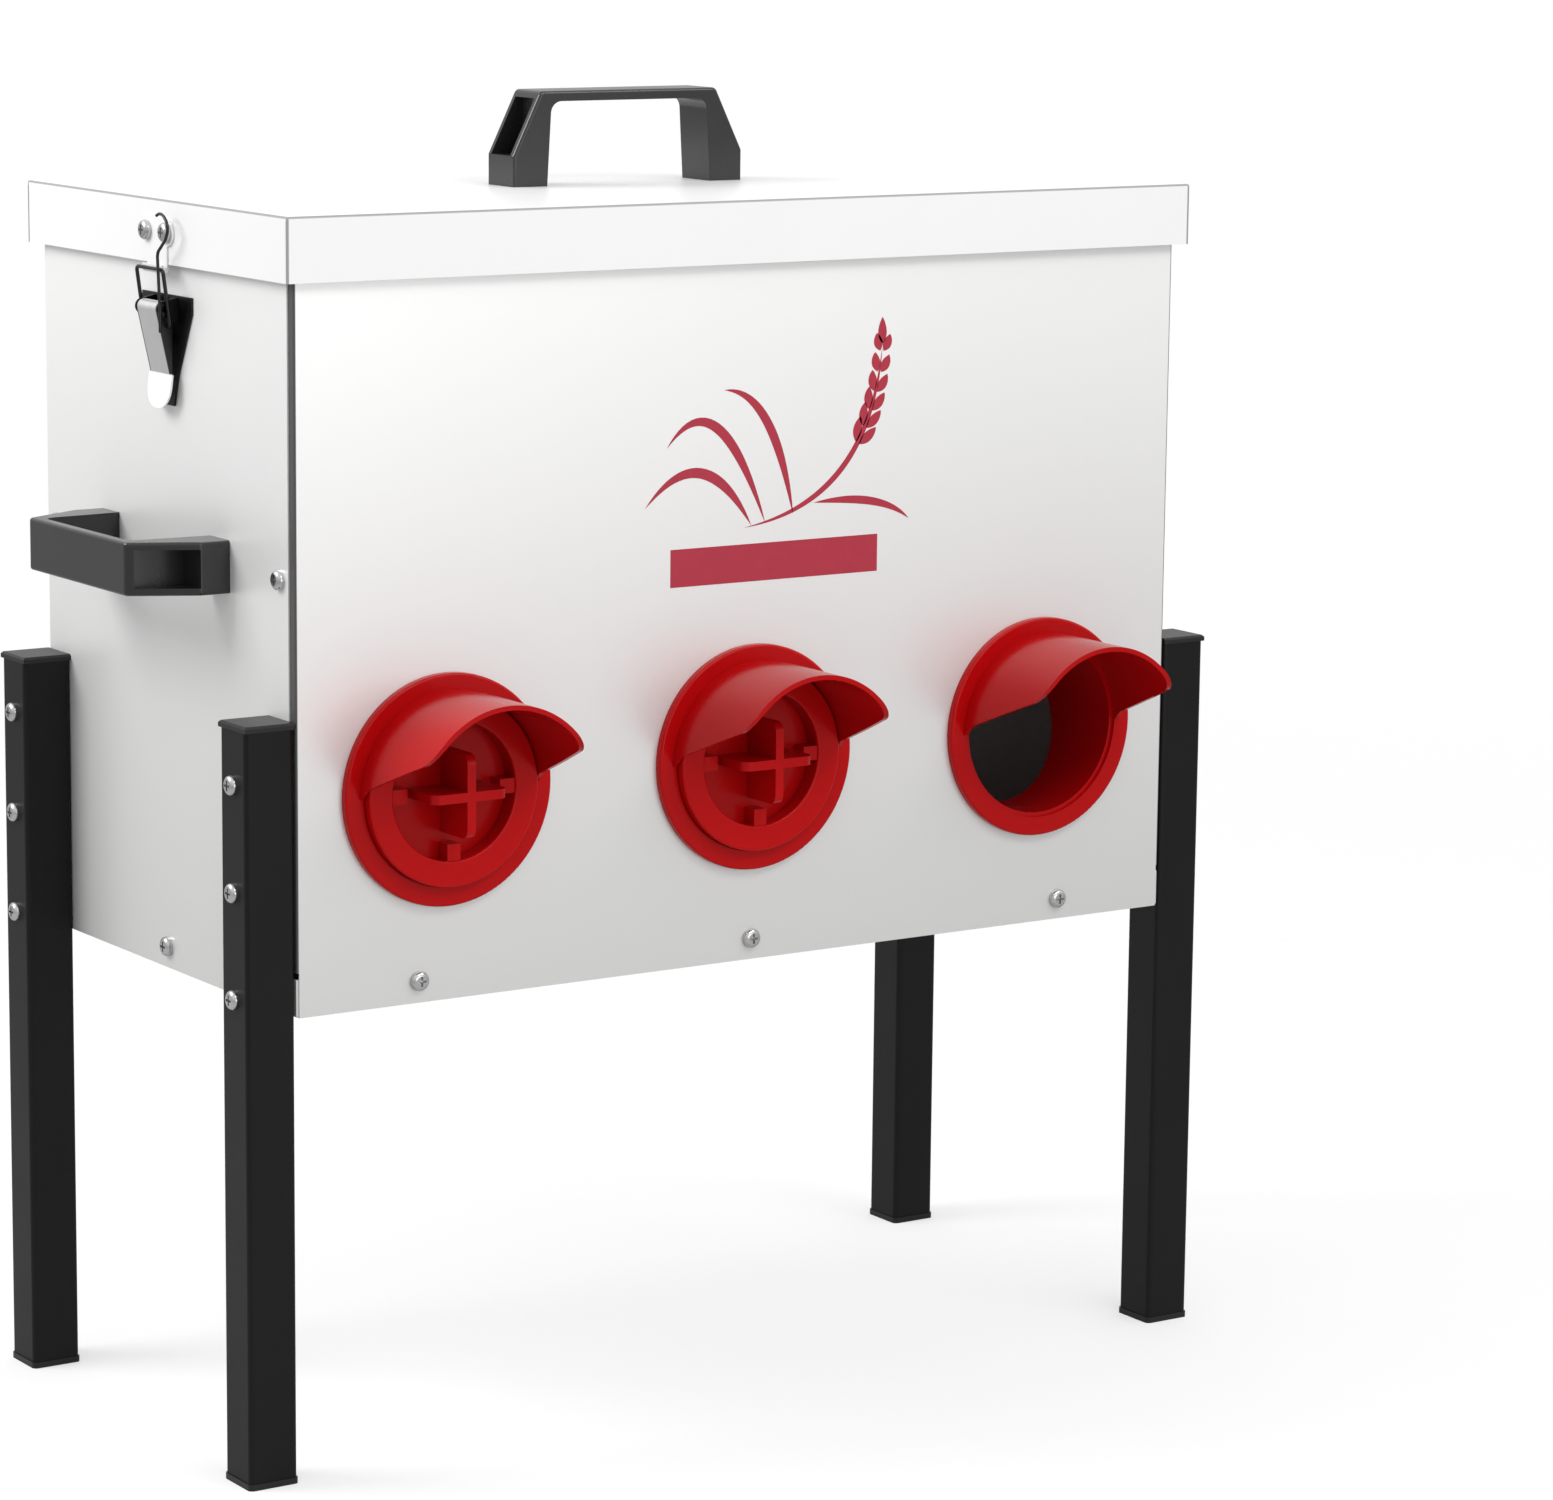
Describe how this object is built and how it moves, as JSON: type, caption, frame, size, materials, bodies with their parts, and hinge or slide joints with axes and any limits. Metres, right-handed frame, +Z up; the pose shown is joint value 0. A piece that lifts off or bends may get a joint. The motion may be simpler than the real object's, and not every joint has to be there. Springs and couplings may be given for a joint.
{
  "type": "gravity poultry feeder",
  "caption": "Sheet-metal hopper feeder on tubular legs with hooded round feed ports, push-in port plugs, a lift-off lid with toggle latches and bridge handles.",
  "frame": {"origin": "on the ground, at the centre of the whole feeder's footprint, hoods included; the hopper's centre is 27 mm behind it", "axes": "+Z up, +X to the right as seen from the front, the feed ports face -Y"},
  "size_m": [0.592, 0.318, 0.636],
  "materials": {
    "sheet_metal": "pale satin coated steel sheet",
    "leg_tube": "satin black powder coat",
    "black_plastic": "black moulded plastic",
    "handle_black": "black moulded plastic with a soft sheen",
    "port_red": "glossy red moulded plastic",
    "plug_red": "glossy red moulded plastic",
    "latch_plate": "bright zinc-plated pressed steel",
    "latch_wire": "plated spring wire",
    "zinc_fastener": "bright zinc plate"
  },
  "bodies": {
    "root": {"feed_port_left": "port_red", "feed_port_middle": "port_red", "feed_port_right": "port_red", "floor_tray": "sheet_metal", "front_panel": "sheet_metal", "latch_base_left": "latch_plate", "latch_base_right": "latch_plate", "latch_rivets": "zinc_fastener", "left_side_panel": "sheet_metal", "leg_cap_front_left": "black_plastic", "leg_cap_front_right": "black_plastic", "leg_cap_rear_left": "black_plastic", "leg_cap_rear_right": "black_plastic", "leg_foot_front_left": "black_plastic", "leg_foot_front_right": "black_plastic", "leg_foot_rear_left": "black_plastic", "leg_foot_rear_right": "black_plastic", "leg_front_left": "leg_tube", "leg_front_right": "leg_tube", "leg_nuts": "zinc_fastener", "leg_rear_left": "leg_tube", "leg_rear_right": "leg_tube", "leg_screws": "zinc_fastener", "panel_nuts": "zinc_fastener", "panel_screws": "zinc_fastener", "port_nut_left": "port_red", "port_nut_middle": "port_red", "port_nut_right": "port_red", "rear_panel": "sheet_metal", "right_side_panel": "sheet_metal", "side_handle_left": "handle_black", "side_handle_right": "handle_black", "side_handle_screws": "zinc_fastener"},
    "lid": {"keeper_nuts": "zinc_fastener", "keeper_screws": "zinc_fastener", "latch_keeper_left": "latch_plate", "latch_keeper_right": "latch_plate", "lid": "sheet_metal", "top_handle": "handle_black", "top_handle_screws": "zinc_fastener"},
    "latch_lever_left": {"latch_lever_left": "latch_plate", "latch_pin_left": "latch_wire"},
    "latch_bail_left": {"latch_bail_left": "latch_wire"},
    "latch_lever_right": {"latch_lever_right": "latch_plate", "latch_pin_right": "latch_wire"},
    "latch_bail_right": {"latch_bail_right": "latch_wire"},
    "port_plug_left": {"port_plug_left": "plug_red"},
    "port_plug_middle": {"port_plug_middle": "plug_red"}
  },
  "joints": [
    {"name": "lid_lift", "type": "slide", "parent": "root", "child": "lid", "axis": [0, 0, 1], "range_m": [0, 0.15]},
    {"name": "latch_left_lever", "type": "hinge", "parent": "root", "child": "latch_lever_left", "pos_m": [-0.258, 0.0205, 0.5395], "axis": [0, 1, 0], "range_deg": [0, 150]},
    {"name": "latch_left_bail", "type": "hinge", "parent": "latch_lever_left", "child": "latch_bail_left", "pos_m": [-0.256, 0.0205, 0.5315], "axis": [0, 1, 0], "range_deg": [-150, 0]},
    {"name": "latch_right_lever", "type": "hinge", "parent": "root", "child": "latch_lever_right", "pos_m": [0.258, 0.0205, 0.5395], "axis": [0, -1, 0], "range_deg": [0, 150]},
    {"name": "latch_right_bail", "type": "hinge", "parent": "latch_lever_right", "child": "latch_bail_right", "pos_m": [0.256, 0.0205, 0.5315], "axis": [0, -1, 0], "range_deg": [-150, 0]},
    {"name": "plug_left_pull", "type": "slide", "parent": "root", "child": "port_plug_left", "axis": [0, -1, 0], "range_m": [0, 0.085]},
    {"name": "plug_middle_pull", "type": "slide", "parent": "root", "child": "port_plug_middle", "axis": [0, -1, 0], "range_m": [0, 0.085]}
  ],
  "couplings": [
    {"joint": "latch_left_bail", "follows": "latch_left_lever", "ratio": -1},
    {"joint": "latch_right_bail", "follows": "latch_right_lever", "ratio": -1}
  ]
}
